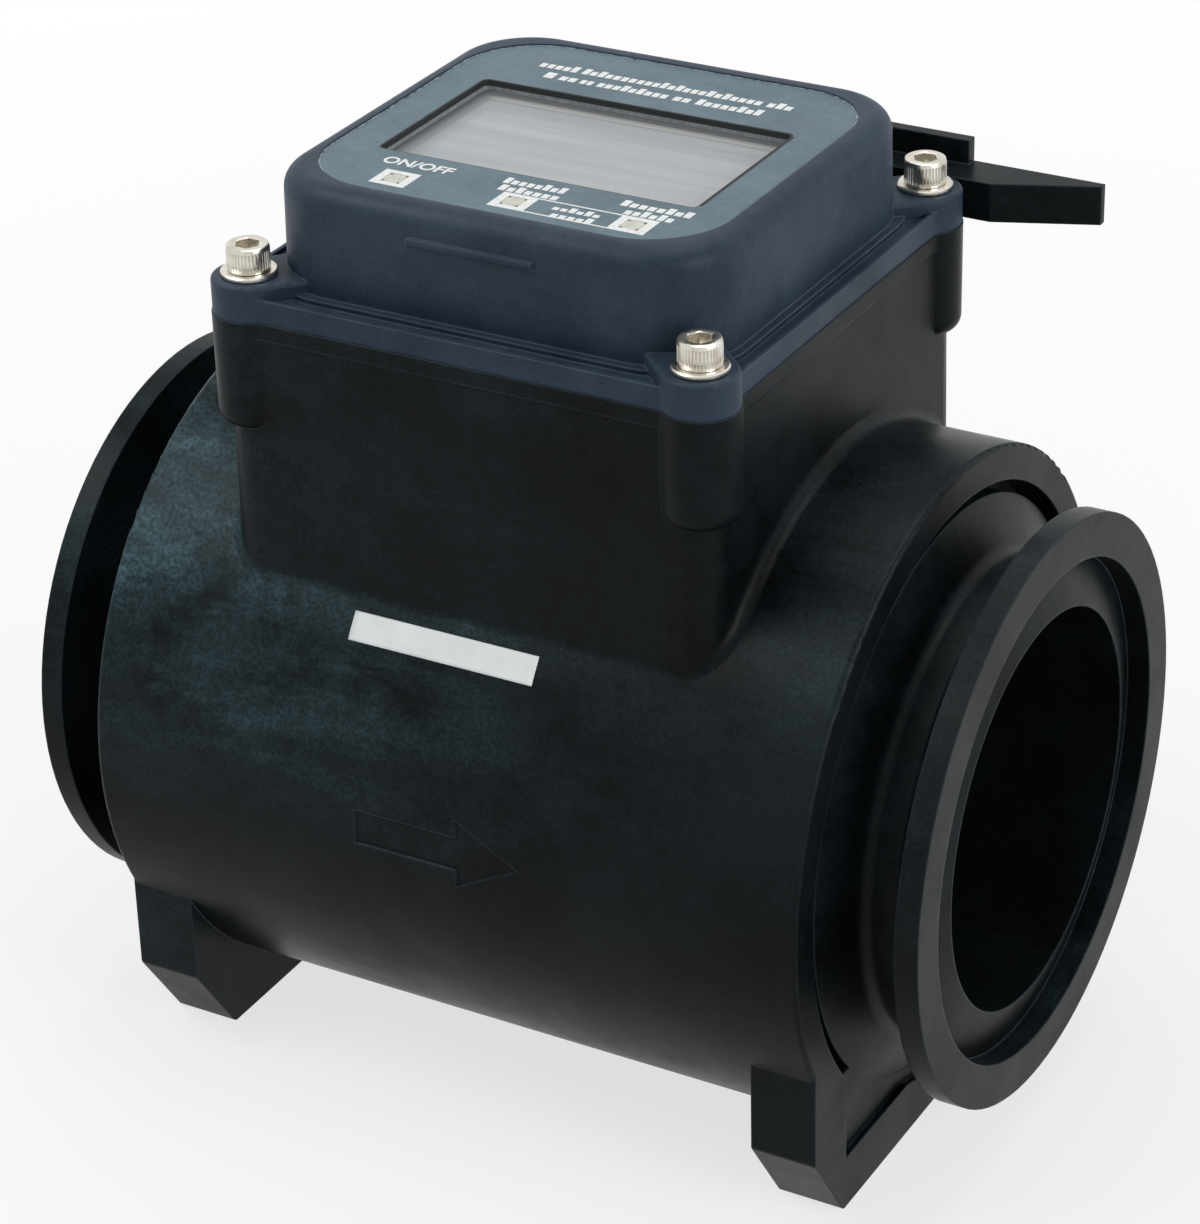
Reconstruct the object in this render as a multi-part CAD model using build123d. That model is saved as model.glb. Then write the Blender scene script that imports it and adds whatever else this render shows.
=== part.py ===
from build123d import *
import math
import os

# Flow meter for a three inch pipe, in millimetres.
# The origin is the centre of the inlet face. +X runs with the flow, +Z points up to the display.

# Pipe and flanges
bore_radius = 38.1
meter_length = 185.0
flange_radius = 56.0
flange_edge = 4.6
flange_back = 8.0
face_rim_radius = 47.7
seat_outer_depth = 4.6
seat_inner_depth = 1.9
neck_radius = 45.0
flange_root_round = 2.0
web_root_round = 3.0

# Shell and its ends
shell_radius = 64.8
shell_setback = 19.0
shell_length = meter_length - 2 * shell_setback
end_rim_width = 6.7
end_groove_width = 2.6
end_groove_depth = 6.0
web_setback = 1.2
web_rise = 4.2
rim_edge_radius = 1.0

# Feet
foot_width = 114.0
foot_length = 13.0
foot_drop = 66.0
foot_top = 24.0
foot_corner_width = 11.5
foot_corner_height = 17.0
foot_panel_width = 89.0
foot_panel_drop = 55.0
foot_edge_radius = 1.5

# Plan of the display box, which the tower, the screws and the display parts follow
box_length = 90.0
box_width = 87.0

# Tower under the display
tower_margin_x = 4.7
tower_margin_y = 5.6
tower_length = box_length + 2 * tower_margin_x
tower_width = box_width + 2 * tower_margin_y
tower_top = 91.2
tower_draft = 0.8
tower_corner = 7.0
tower_blend = 2.5
tower_rim_height = 3.2
tower_rim_step = 0.5
cavity_margin_x = 3.5
cavity_margin_y = 2.7
cavity_length = box_length - 2 * cavity_margin_x
cavity_width = box_width - 2 * cavity_margin_y
cavity_corner = 14.0
cavity_floor = 66.0
flow_mark_length = 34.3
flow_mark_height = 13.7
flow_mark_depth = 0.5
flow_mark_level = 2.0
flow_mark_shift = 0.75
flow_mark_neck = 0.62
flow_mark_bar = 0.5

# Screws that hold the display
screw_margin_x = 0.3
screw_margin_y = 0.7
screw_span_x = box_length + 2 * screw_margin_x
screw_span_y = box_width + 2 * screw_margin_y
screw_radius = 2.4
screw_length = 19.0
screw_head_radius = 3.96
screw_head_height = 4.83
screw_socket_across = 3.97
screw_socket_depth = 2.4
screw_clearance = 0.3
screw_head_chamfer = 0.4
washer_radius = 5.16
washer_thickness = 1.0
boss_radius = 7.2
boss_bottom = 69.6
boss_round = 3.0
insert_radius = 3.4
insert_length = 10.0
insert_setback = 0.2
fit_clearance = 0.05

# Rear bracket
bracket_arm_right = 24.3
bracket_arm_left = 16.3
bracket_shoulder_gap = 5.3
bracket_gap = 2.9
bracket_width = 9.2
bracket_near = tower_width / 2 + bracket_gap
bracket_far = bracket_near + bracket_width
bracket_drop = 1.6
bracket_bottom = tower_top - bracket_drop
bracket_thickness = 7.6
bracket_tip = 1.6
bracket_rib_inset = 2.2
bracket_rib_length = tower_length - 2 * bracket_rib_inset
bracket_rib_height = 4.8
bracket_rib_width = 2.4
bracket_web_depth = 12.4
bracket_web_inset = 7.7
bracket_web_length = tower_length - 2 * bracket_web_inset
bracket_web_root = 1.0
bracket_web_edge = 3.0

# Display cover
cover_base = 4.4
cover_overhang = 0.3
ear_radius = 7.0
ear_height = 6.7
ear_reach = 12.0
ear_blend = 2.0
ear_edge_round = 0.8
box_corner = 15.5
box_top = 116.0
box_draft = 1.0
box_edge_round = 4.0
cover_wall = 3.0
cover_roof = 3.6
trough_lip = 0.8
trough_depth = 1.0
trough_gap = 1.6
grip_bar_length = 25.0
grip_bar_height = 1.6
grip_bar_depth = 0.7
grip_bar_round = 0.6
grip_bar_level = 109.8

# Cover gasket
gasket_margin_x = 1.0
gasket_margin_y = 0.5
gasket_length = box_length - 2 * gasket_margin_x
gasket_width = box_width - 2 * gasket_margin_y
gasket_band = 1.8
gasket_thickness = 1.2

# Face panel, window and touch windows
panel_margin_x = 4.6
panel_margin_y = 5.4
panel_length = box_length - 2 * panel_margin_x
panel_width = box_width - 2 * panel_margin_y
panel_corner = 15.5
panel_offset = -0.2
panel_pocket = 1.0
panel_thickness = 0.6
window_margin_x = 12.7
window_margin_y = 24.5
window_length = box_length - 2 * window_margin_x
window_width = box_width - 2 * window_margin_y
window_corner = 1.5
window_offset = -1.75
pane_lip = 1.8
pane_thickness = 1.2
touch_size = 3.8
touch_depth = 2.2
touch_inset = 6.5
touch_row = panel_offset - panel_width / 2 + touch_inset
touch_places = (-21.6, 2.4, 26.0)

# Display parts
lcd_overlap_x = 0.7
lcd_overlap_y = 0.5
lcd_length = window_length + 2 * lcd_overlap_x
lcd_width = window_width + 2 * lcd_overlap_y
lcd_thickness = 2.4
lcd_gap = 0.1
frame_wall = 1.6
frame_ledge = 2.5
frame_height = 8.2
board_margin_x = 5.0
board_margin_y = 7.5
board_length = box_length - 2 * board_margin_x
board_width = box_width - 2 * board_margin_y
board_thickness = 1.6
board_corner = 8.0
post_inset_x = 4.0
post_inset_y = 6.0
post_span_x = board_length - 2 * post_inset_x
post_span_y = board_width - 2 * post_inset_y
post_radius = 3.0
board_screw_radius = 1.2
board_screw_length = 8.0
board_screw_head_radius = 2.4
board_screw_head_height = 1.5
board_screw_slot_radius = 1.0
board_screw_slot_depth = 0.8

# Pickup sensor
sensor_radius = 5.0
sensor_tip = 42.0
sensor_top = 73.0
sensor_flange_radius = 7.0
sensor_flange_thickness = 2.0

# Battery
cell_radius = 7.0
cell_length = 50.0
cell_pitch = 15.2
cell_cap_radius = 2.6
cell_cap_height = 1.2
holder_wall = 1.4
holder_height = 10.0
holder_centre = 24.0
contact_thickness = 0.5
contact_width = 10.0
contact_height = 9.0

# Turbine
rotor_bore_radius = 36.9
rotor_bay = 32.0
rotor_hub_radius = 11.0
rotor_hub_length = 27.0
rotor_tip_gap = 0.7
blade_count = 6
blade_thickness = 2.4
blade_length = 20.0
blade_lead = 160.0
shaft_radius = 2.0
shaft_length = 48.0
bearing_radius = 4.0
bearing_length = 8.0
bearing_clearance = 0.05
support_gap = 1.1
support_ring_length = 9.0
support_ring_wall = 1.8
support_clearance = 0.1
support_hub_length = 16.5
support_nose_length = 14.0
vane_count = 4
vane_thickness = 2.2
vane_length = 14.0
vane_turn = 45.0
retainer_thickness = 1.5
retainer_width = 3.6
retainer_seat = 1.4
retainer_play = 0.1
retainer_mouth = 24.0
nose_shoulder_reach = 0.6
nose_shoulder_radius = 0.66
shaft_end_gap = 0.3
shaft_end_clearance = 0.5
shaft_chamfer = 0.4
hub_chamfer = 0.8
magnet_radius = 2.5
magnet_length = 5.0
magnet_orbit = 7.0

# How far a cutting shape runs past the face that it cuts
cut_over = 1.0

# Places worked out from the sizes above
mid_x = meter_length / 2
shell_start = shell_setback
rim_inner_radius = shell_radius - end_rim_width
web_radius = rim_inner_radius - end_groove_width
screw_places = [
    (mid_x + side_x * screw_span_x / 2, side_y * screw_span_y / 2)
    for side_x in (-1, 1)
    for side_y in (-1, 1)
]
ear_top = tower_top + ear_height
cover_base_top = tower_top + cover_base
roof_under = box_top - cover_roof
panel_floor = box_top - panel_pocket
panel_top = panel_floor + panel_thickness
lcd_top = roof_under - lcd_gap
board_top = lcd_top - frame_height
head_bottom = ear_top + washer_thickness
bay_start = mid_x - rotor_bay / 2


def rounded_plate(length, width, corner, height, thickness, centre_y=0.0, draft=0.0):
    """A plate with rounded corners over the meter's middle, its underside at the given height."""
    outline = RectangleRounded(length, width, corner)
    plate = extrude(outline, thickness, taper=draft)
    return Pos(mid_x, centre_y, height) * plate


def post(place, radius, bottom, top):
    """An upright cylinder between two heights."""
    x, y = place
    return Pos(x, y, (bottom + top) / 2) * Cylinder(radius, top - bottom)


def turned(points, rounds=()):
    """A solid turned about the pipe axis from points along it and away from it, with some corners rounded."""
    section = make_face(Polyline(*[(x, 0, radius) for x, radius in points], close=True))
    for x, radius, amount in rounds:
        corner = section.vertices().sort_by_distance((x, 0, radius))[0]
        section = section.face().fillet_2d(amount, [corner])
    return revolve(section, Axis.X, 360)


def mirrored_end(points):
    """The same points seen from the outlet end."""
    return [(meter_length - x, *rest) for x, *rest in points]


def along_pipe(radius, start, end):
    """A cylinder on the pipe axis."""
    return Pos((start + end) / 2, 0, 0) * Rot(0, 90, 0) * Cylinder(radius, end - start)


def pipe_end():
    """Outline of one end: gasket seat, flange, neck and the coned web inside the shell."""
    web_face = shell_start + web_setback
    return [
        (seat_inner_depth, 0.0),
        (seat_inner_depth, bore_radius),
        (seat_outer_depth, face_rim_radius),
        (0.0, face_rim_radius),
        (0.0, flange_radius),
        (flange_edge, flange_radius),
        (flange_back, neck_radius),
        (web_face - web_rise, neck_radius),
        (web_face, web_radius),
        (web_face + end_groove_depth + cut_over, web_radius),
        (web_face + end_groove_depth + cut_over, 0.0),
    ]


def pipe_end_rounds():
    """Corners of one end that are rounded, and by how much."""
    return [
        (flange_back, neck_radius, flange_root_round),
        (shell_start + web_setback - web_rise, neck_radius, web_root_round),
    ]


def foot(start):
    """One foot: a block under the shell with its lower corners cut away."""
    half = foot_width / 2
    outline = Polyline(
        (-half, -foot_top),
        (-half, foot_corner_height - foot_drop),
        (foot_corner_width - half, -foot_drop),
        (half - foot_corner_width, -foot_drop),
        (half, foot_corner_height - foot_drop),
        (half, -foot_top),
        close=True,
    )
    block = extrude(Plane.YZ * make_face(outline), foot_length)
    lower = block.edges().filter_by(Axis.X).sort_by(Axis.Z)[:4]
    return Pos(start, 0, 0) * fillet(lower, foot_edge_radius)


def end_recess(face_x, inward):
    """What is cut out of one end of the shell: the annular groove and the shallow foot panel."""
    depth = web_setback + end_groove_depth
    groove = along_pipe(rim_inner_radius, 0, depth) - along_pipe(web_radius, -cut_over, depth + cut_over)
    shallow = along_pipe(rim_inner_radius, 0, web_setback)
    panel_top_level = -math.sqrt(rim_inner_radius ** 2 - (foot_panel_width / 2) ** 2)
    panel = Box(
        web_setback, foot_panel_width, foot_panel_drop,
        align=(Align.MIN, Align.CENTER, Align.MAX),
    )
    lower_block = Box(
        depth + 2 * cut_over, foot_panel_width, foot_drop + panel_top_level,
        align=(Align.MIN, Align.CENTER, Align.MIN),
    )
    groove -= Pos(-cut_over, 0, -foot_drop) * lower_block
    recess = groove + shallow + panel
    if inward < 0:
        recess = Rot(0, 0, 180) * recess
    return Pos(face_x, 0, 0) * recess


def bulged_outline(margin, radius):
    """Outline of the tower's top with a margin around it, bulging with a blend around each screw."""
    outline = RectangleRounded(tower_length + 2 * margin, tower_width + 2 * margin, tower_corner)
    for x, y in screw_places:
        outline += Pos(x - mid_x, y) * Circle(radius)
    return fillet(outline.vertices(), ear_blend)


def tower():
    """The box that carries the display, with its rim and the four screw bosses."""
    spread = 2 * tower_top * math.tan(math.radians(tower_draft))
    block = rounded_plate(
        tower_length + spread, tower_width + spread, tower_corner, 0, tower_top, draft=tower_draft
    )
    bulged = extrude(bulged_outline(0, boss_radius), tower_top - boss_bottom - boss_round)
    rim = extrude(bulged_outline(tower_rim_step, boss_radius), tower_rim_height)
    shape = block + Pos(mid_x, 0, boss_bottom + boss_round) * bulged
    shape += Pos(mid_x, 0, tower_top - tower_rim_height) * rim
    for place in screw_places:
        boss = post(place, boss_radius, boss_bottom, tower_top)
        shape += fillet(boss.edges().sort_by(Axis.Z)[0], boss_round)
    return shape


def rear_bracket():
    """The winged bar behind the display, carried by a web on the back of the tower."""
    shoulder = tower_length / 2 + bracket_shoulder_gap
    right = tower_length / 2 + bracket_arm_right
    left = tower_length / 2 + bracket_arm_left
    wing = Polyline(
        (-shoulder, bracket_near),
        (shoulder, bracket_near),
        (right, bracket_far - bracket_tip),
        (right, bracket_far),
        (-left, bracket_far),
        (-left, bracket_far - bracket_tip),
        close=True,
    )
    bar = Pos(mid_x, 0, bracket_bottom) * extrude(make_face(wing), bracket_thickness)
    rib = Pos(mid_x, bracket_far - bracket_rib_width / 2, bracket_bottom) * Box(
        bracket_rib_length, bracket_rib_width, bracket_thickness + bracket_rib_height,
        align=(Align.CENTER, Align.CENTER, Align.MIN),
    )
    gusset = Polyline(
        (tower_width / 2 - bracket_web_root, bracket_bottom - bracket_web_depth),
        (tower_width / 2 + tower_rim_step, bracket_bottom - bracket_web_depth),
        (bracket_far, bracket_bottom - bracket_web_edge),
        (bracket_far, bracket_bottom),
        (tower_width / 2 - bracket_web_root, bracket_bottom),
        close=True,
    )
    web = extrude(Plane.YZ * make_face(gusset), bracket_web_length / 2, both=True)
    return bar + rib + Pos(mid_x, 0, 0) * web


def bore_cut():
    """The bore with the rotor bay, the seats of both supports and the retainer grooves."""
    seat = bay_start - support_ring_length
    groove_far = seat - retainer_play - retainer_thickness
    groove_radius = bore_radius + retainer_seat + retainer_play
    half = [
        (-cut_over, 0.0),
        (-cut_over, bore_radius),
        (groove_far - retainer_play, bore_radius),
        (groove_far - retainer_play, groove_radius),
        (seat, groove_radius),
        (seat, bore_radius),
        (bay_start, bore_radius),
        (bay_start, rotor_bore_radius),
    ]
    return turned(half + mirrored_end(half)[::-1])


def flow_mark():
    """What is cut out of the shell for the shallow arrow that points with the flow."""
    tail = mid_x + flow_mark_shift - flow_mark_length / 2
    neck = tail + flow_mark_length * flow_mark_neck
    half = flow_mark_height / 2
    bar = half * flow_mark_bar
    outline = Polyline(
        (tail, -bar), (neck, -bar), (neck, -half), (tail + flow_mark_length, 0),
        (neck, half), (neck, bar), (tail, bar), close=True,
    )
    prism = extrude(Plane.XZ * make_face(outline), shell_radius + cut_over)
    floor = along_pipe(shell_radius - flow_mark_depth, shell_start, shell_start + shell_length)
    return Pos(0, 0, flow_mark_level) * prism - floor


def meter_body():
    """The moulded body: pipe, flanges, shell, feet and tower in one piece."""
    shell = along_pipe(shell_radius, shell_start, shell_start + shell_length)
    shell = fillet(shell.edges(), rim_edge_radius)
    feet = foot(shell_start) + foot(shell_start + shell_length - foot_length)
    shape = shell + feet + tower()
    on_shell = [
        edge for edge in shape.edges()
        if abs(math.hypot(edge.center().Y, edge.center().Z) - shell_radius) < tower_blend
        and edge.center().Z > shell_radius / 2
        and abs(edge.center().X - mid_x) < tower_length / 2 + 2 * tower_blend
    ]
    shape = fillet(on_shell, tower_blend)
    shape -= end_recess(shell_start, 1)
    shape -= end_recess(shell_start + shell_length, -1)
    shape += turned(pipe_end(), pipe_end_rounds())
    shape += turned(mirrored_end(pipe_end()), mirrored_end(pipe_end_rounds()))
    shape += rear_bracket()
    shape -= flow_mark()
    shape -= bore_cut()
    cavity = rounded_plate(
        cavity_length, cavity_width, cavity_corner, cavity_floor, tower_top - cavity_floor + cut_over
    )
    shape -= cavity
    groove = rounded_plate(
        gasket_length + gasket_band, gasket_width + gasket_band, gasket_corner(1),
        tower_top - gasket_thickness, gasket_thickness + cut_over,
    )
    groove -= rounded_plate(
        gasket_length - gasket_band, gasket_width - gasket_band, gasket_corner(-1),
        tower_top - gasket_thickness - cut_over, gasket_thickness + 3 * cut_over,
    )
    shape -= groove
    for place in screw_places:
        insert_bottom = tower_top - insert_setback - insert_length
        shape -= post(place, insert_radius + fit_clearance, insert_bottom, tower_top + cut_over)
        screw_room = head_bottom - screw_length - cut_over
        shape -= post(place, screw_radius + screw_clearance, screw_room, tower_top)
    shape -= post((mid_x, 0), sensor_radius + support_clearance, sensor_tip, cavity_floor + cut_over)
    return shape


def gasket_corner(side):
    """Corner radius of the gasket's outer or inner edge, which keeps inside the screws."""
    return box_corner + side * gasket_band / 2


def cover_gasket():
    """The seal between the tower and the display cover."""
    outer = rounded_plate(
        gasket_length + gasket_band, gasket_width + gasket_band, gasket_corner(1),
        tower_top - gasket_thickness, gasket_thickness,
    )
    inner = rounded_plate(
        gasket_length - gasket_band, gasket_width - gasket_band, gasket_corner(-1),
        tower_top - gasket_thickness - cut_over, gasket_thickness + 2 * cut_over,
    )
    return outer - inner


def ear(place):
    """A pad under one cover screw that runs diagonally into the corner of the box."""
    x, y = place
    lean = math.atan2(-y, mid_x - x)
    plan = SlotCenterToCenter(ear_reach, 2 * ear_radius, rotation=math.degrees(lean))
    middle_x = x + ear_reach / 2 * math.cos(lean)
    middle_y = y + ear_reach / 2 * math.sin(lean)
    pad = Pos(middle_x, middle_y, tower_top) * extrude(plan, ear_height)
    return fillet(pad.faces().sort_by(Axis.Z)[-1].edges(), ear_edge_round)


def display_cover():
    """The slate cover: base plate with ears, raised box, window opening and board posts."""
    base = Pos(mid_x, 0, tower_top) * extrude(bulged_outline(cover_overhang, ear_radius), cover_base)
    trough_outer = rounded_plate(
        tower_length + 2 * (cover_overhang - trough_lip), tower_width + 2 * (cover_overhang - trough_lip),
        tower_corner, cover_base_top - trough_depth, trough_depth + cut_over,
    )
    trough_inner = rounded_plate(
        box_length + 2 * trough_gap, box_width + 2 * trough_gap,
        box_corner, cover_base_top - trough_depth - cut_over, trough_depth + 3 * cut_over,
    )
    shape = base - (trough_outer - trough_inner)
    for place in screw_places:
        shape += ear(place)
    box = rounded_plate(
        box_length, box_width, box_corner, tower_top, box_top - tower_top, draft=box_draft
    )
    shape += fillet(box.faces().sort_by(Axis.Z)[-1].edges(), box_edge_round)
    inside = rounded_plate(
        box_length - 2 * cover_wall, box_width - 2 * cover_wall, box_corner - cover_wall,
        tower_top - cut_over, roof_under - tower_top + cut_over,
    )
    shape -= inside
    shape -= rounded_plate(
        panel_length, panel_width, panel_corner, panel_floor, panel_pocket + cut_over, panel_offset
    )
    shape -= rounded_plate(
        window_length, window_width, window_corner,
        roof_under - cut_over, cover_roof + 2 * cut_over, window_offset,
    )
    shape -= rounded_plate(
        window_length + 2 * pane_lip, window_width + 2 * pane_lip, window_corner,
        roof_under - cut_over, pane_thickness + cut_over, window_offset,
    )
    for place in touch_places:
        size = touch_size + 2 * fit_clearance
        shape -= Pos(mid_x + place, touch_row, panel_top - touch_depth) * Box(
            size, size, touch_depth + cut_over, align=(Align.CENTER, Align.CENTER, Align.MIN)
        )
    for place in screw_places:
        shape -= post(place, screw_radius + screw_clearance, tower_top - cut_over, ear_top + cut_over)
    for place in post_places():
        shape += post(place, post_radius, board_top, roof_under + fit_clearance)
        shape -= post(place, board_screw_radius, board_top - cut_over, board_top + board_screw_length)
    front = -box_width / 2 + (grip_bar_level - tower_top) * math.tan(math.radians(box_draft))
    bar = Pos(mid_x, front, grip_bar_level) * Box(grip_bar_length, 2 * grip_bar_depth, grip_bar_height)
    return shape + fillet(bar.edges().filter_by(Axis.X), grip_bar_round)


def post_places():
    """Plan places of the four posts that carry the circuit board."""
    return [
        (mid_x + side_x * post_span_x / 2, side_y * post_span_y / 2)
        for side_x in (-1, 1)
        for side_y in (-1, 1)
    ]


def face_panel():
    """The thin inset panel with its openings for the display and the touch windows."""
    gap = 2 * fit_clearance
    shape = rounded_plate(
        panel_length - gap, panel_width - gap, panel_corner, panel_floor, panel_thickness, panel_offset
    )
    shape -= rounded_plate(
        window_length, window_width, window_corner,
        panel_floor - cut_over, panel_thickness + 2 * cut_over, window_offset,
    )
    for place in touch_places:
        shape -= Pos(mid_x + place, touch_row, panel_floor) * Box(
            touch_size + gap, touch_size + gap, 2 * (panel_thickness + cut_over)
        )
    return shape


def display_window():
    """The clear pane, bonded under the lip of the window opening."""
    gap = 2 * fit_clearance
    return rounded_plate(
        window_length + 2 * pane_lip - gap, window_width + 2 * pane_lip - gap,
        window_corner, roof_under, pane_thickness, window_offset,
    )


def touch_window(place):
    """One small square window over a touch switch."""
    return Pos(mid_x + place, touch_row, panel_top - touch_depth) * Box(
        touch_size, touch_size, touch_depth, align=(Align.CENTER, Align.CENTER, Align.MIN)
    )


def lcd_module():
    """The display glass in its frame."""
    return rounded_plate(
        lcd_length, lcd_width, window_corner, lcd_top - lcd_thickness, lcd_thickness, window_offset
    )


def lcd_frame():
    """The frame that carries the display glass on the circuit board."""
    gap = 2 * fit_clearance
    shape = rounded_plate(
        lcd_length + 2 * frame_wall, lcd_width + 2 * frame_wall, window_corner,
        board_top, frame_height, window_offset,
    )
    shape -= rounded_plate(
        lcd_length + gap, lcd_width + gap, window_corner,
        lcd_top - lcd_thickness, lcd_thickness + cut_over, window_offset,
    )
    shape -= rounded_plate(
        lcd_length - 2 * frame_ledge, lcd_width - 2 * frame_ledge, window_corner,
        board_top - cut_over, frame_height + 2 * cut_over, window_offset,
    )
    return shape


def circuit_board():
    """The circuit board, hung under the posts of the cover."""
    shape = rounded_plate(
        board_length, board_width, board_corner, board_top - board_thickness, board_thickness
    )
    for place in post_places():
        hole_bottom = board_top - board_thickness - cut_over
        shape -= post(place, board_screw_radius + screw_clearance, hole_bottom, board_top + cut_over)
    return shape


def board_screws():
    """The four small screws that hold the circuit board."""
    screws = []
    for place in post_places():
        under = board_top - board_thickness
        head = post(place, board_screw_head_radius, under - board_screw_head_height, under)
        tip = board_top + board_screw_length - cut_over
        shank = post(place, board_screw_radius - fit_clearance, under, tip)
        head_face = under - board_screw_head_height
        drive = post(
            place, board_screw_slot_radius, head_face - cut_over, head_face + board_screw_slot_depth
        )
        screws.append(head + shank - drive)
    return Compound(children=screws)


def cover_screws():
    """Four socket head cap screws."""
    screws = []
    for place in screw_places:
        head = post(place, screw_head_radius, head_bottom, head_bottom + screw_head_height)
        head = chamfer(head.edges().sort_by(Axis.Z)[-1], screw_head_chamfer)
        shank = post(place, screw_radius, head_bottom - screw_length, head_bottom)
        socket = extrude(RegularPolygon(screw_socket_across / 2, 6, major_radius=False), screw_socket_depth)
        top = head_bottom + screw_head_height - screw_socket_depth
        screws.append(head + shank - Pos(place[0], place[1], top) * socket)
    return Compound(children=screws)


def cover_washers():
    """The plain washers under the screw heads."""
    washers = []
    for place in screw_places:
        disc = post(place, washer_radius, ear_top, head_bottom)
        hole = post(
            place, screw_radius + screw_clearance, ear_top - cut_over, head_bottom + cut_over
        )
        washers.append(disc - hole)
    return Compound(children=washers)


def thread_inserts():
    """The brass inserts moulded into the bosses."""
    inserts = []
    for place in screw_places:
        top = tower_top - insert_setback
        sleeve = post(place, insert_radius, top - insert_length, top)
        hole = post(
            place, screw_radius + fit_clearance, top - insert_length - cut_over, top + cut_over
        )
        inserts.append(sleeve - hole)
    return Compound(children=inserts)


def pickup_sensor():
    """The sensor that reads the rotor magnets through the wall of the bore."""
    shape = post((mid_x, 0), sensor_radius, sensor_tip, sensor_top)
    shape += post(
        (mid_x, 0), sensor_flange_radius, cavity_floor, cavity_floor + sensor_flange_thickness
    )
    return shape


def cell_places():
    """Distance of each battery cell from the middle, and the height of its axis."""
    level = cavity_floor + holder_wall + cell_radius + fit_clearance
    return [(holder_centre + side * cell_pitch / 2, level) for side in (-1, 1)]


def holder_length():
    """Outside length of the battery holder, with room for the contacts and the cell caps."""
    return cell_length + cell_cap_height + 2 * (contact_thickness + holder_wall + fit_clearance)


def battery_holder():
    """The open tray for two cells on the floor of the tower."""
    width = cell_pitch + 2 * (cell_radius + holder_wall + fit_clearance)
    tray = Pos(mid_x, holder_centre, cavity_floor) * Box(
        holder_length(), width, holder_height, align=(Align.CENTER, Align.CENTER, Align.MIN)
    )
    room = holder_length() - 2 * holder_wall
    for y, level in cell_places():
        tray -= Pos(mid_x, y, level) * Rot(0, 90, 0) * Cylinder(cell_radius + fit_clearance, room)
        tray -= Pos(mid_x, y, level) * Box(
            room, 2 * cell_radius, 2 * cell_radius, align=(Align.CENTER, Align.CENTER, Align.MIN)
        )
    bridge_room = Box(
        contact_thickness + fit_clearance, cell_pitch + contact_width + 2 * fit_clearance,
        contact_height + 2 * fit_clearance,
    )
    bridge_x = mid_x - room / 2 + (contact_thickness + fit_clearance) / 2
    return tray - Pos(bridge_x, holder_centre, cell_places()[0][1]) * bridge_room


def battery_cell(index):
    """One cell with its positive cap. The two cells lie in opposite directions."""
    y, level = cell_places()[index]
    side = 1 if index == 0 else -1
    shift = -side * cell_cap_height / 2
    barrel = Rot(0, 90, 0) * Cylinder(cell_radius, cell_length)
    cap = Pos(side * (cell_length + cell_cap_height) / 2, 0, 0) * Rot(0, 90, 0) * Cylinder(
        cell_cap_radius, cell_cap_height
    )
    return Pos(mid_x + shift, y, level) * (barrel + cap)


def battery_contact(side, first, last):
    """A contact strip at one end of the holder, from one cell to another."""
    y_first, level = cell_places()[first]
    y_last = cell_places()[last][0]
    inner = holder_length() / 2 - holder_wall
    x = mid_x + side * (inner - contact_thickness / 2)
    width = abs(y_last - y_first) + contact_width
    return Pos(x, (y_first + y_last) / 2, level) * Box(contact_thickness, width, contact_height)


def blade():
    """One twisted blade of the rotor, lofted from hub to tip."""
    tip_radius = rotor_bore_radius - rotor_tip_gap
    stations = [
        rotor_hub_radius - cut_over, (rotor_hub_radius + tip_radius) / 2, tip_radius + cut_over
    ]
    sections = []
    for radius in stations:
        angle = math.degrees(math.atan(2 * math.pi * radius / blade_lead))
        chord = blade_length / math.cos(math.radians(angle))
        section = SlotOverall(chord, blade_thickness, rotation=angle)
        sections.append(Pos(0, 0, radius) * section)
    return loft(sections) & along_pipe(tip_radius, -blade_length, blade_length)


def rotor():
    """The turbine rotor: a hub with twisted blades, bored for the shaft and the magnets."""
    half = rotor_hub_length / 2
    hub = along_pipe(rotor_hub_radius, -half, half)
    shape = chamfer(hub.edges(), hub_chamfer)
    for index in range(blade_count):
        shape += Rot(index * 360 / blade_count, 0, 0) * blade()
    shape -= along_pipe(shaft_radius + fit_clearance, -half - cut_over, half + cut_over)
    for side in (-1, 1):
        pocket = along_pipe(magnet_radius + fit_clearance, half - magnet_length, half + cut_over)
        shape -= Pos(0, 0, side * magnet_orbit) * pocket
    return Pos(mid_x, 0, 0) * shape


def rotor_magnet(side):
    """One magnet, pressed into the downstream end of the hub."""
    end = mid_x + rotor_hub_length / 2
    return Pos(0, 0, side * magnet_orbit) * along_pipe(magnet_radius, end - magnet_length, end)


def rotor_shaft():
    """The rotor's shaft with its chamfered ends."""
    shape = along_pipe(shaft_radius, mid_x - shaft_length / 2, mid_x + shaft_length / 2)
    return chamfer(shape.edges(), shaft_chamfer)


def placed(side, shape):
    """Places a piece that is drawn for the downstream side of the rotor on either side."""
    if side < 0:
        shape = Rot(0, 0, 180) * shape
    return Pos(mid_x, 0, 0) * shape


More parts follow.
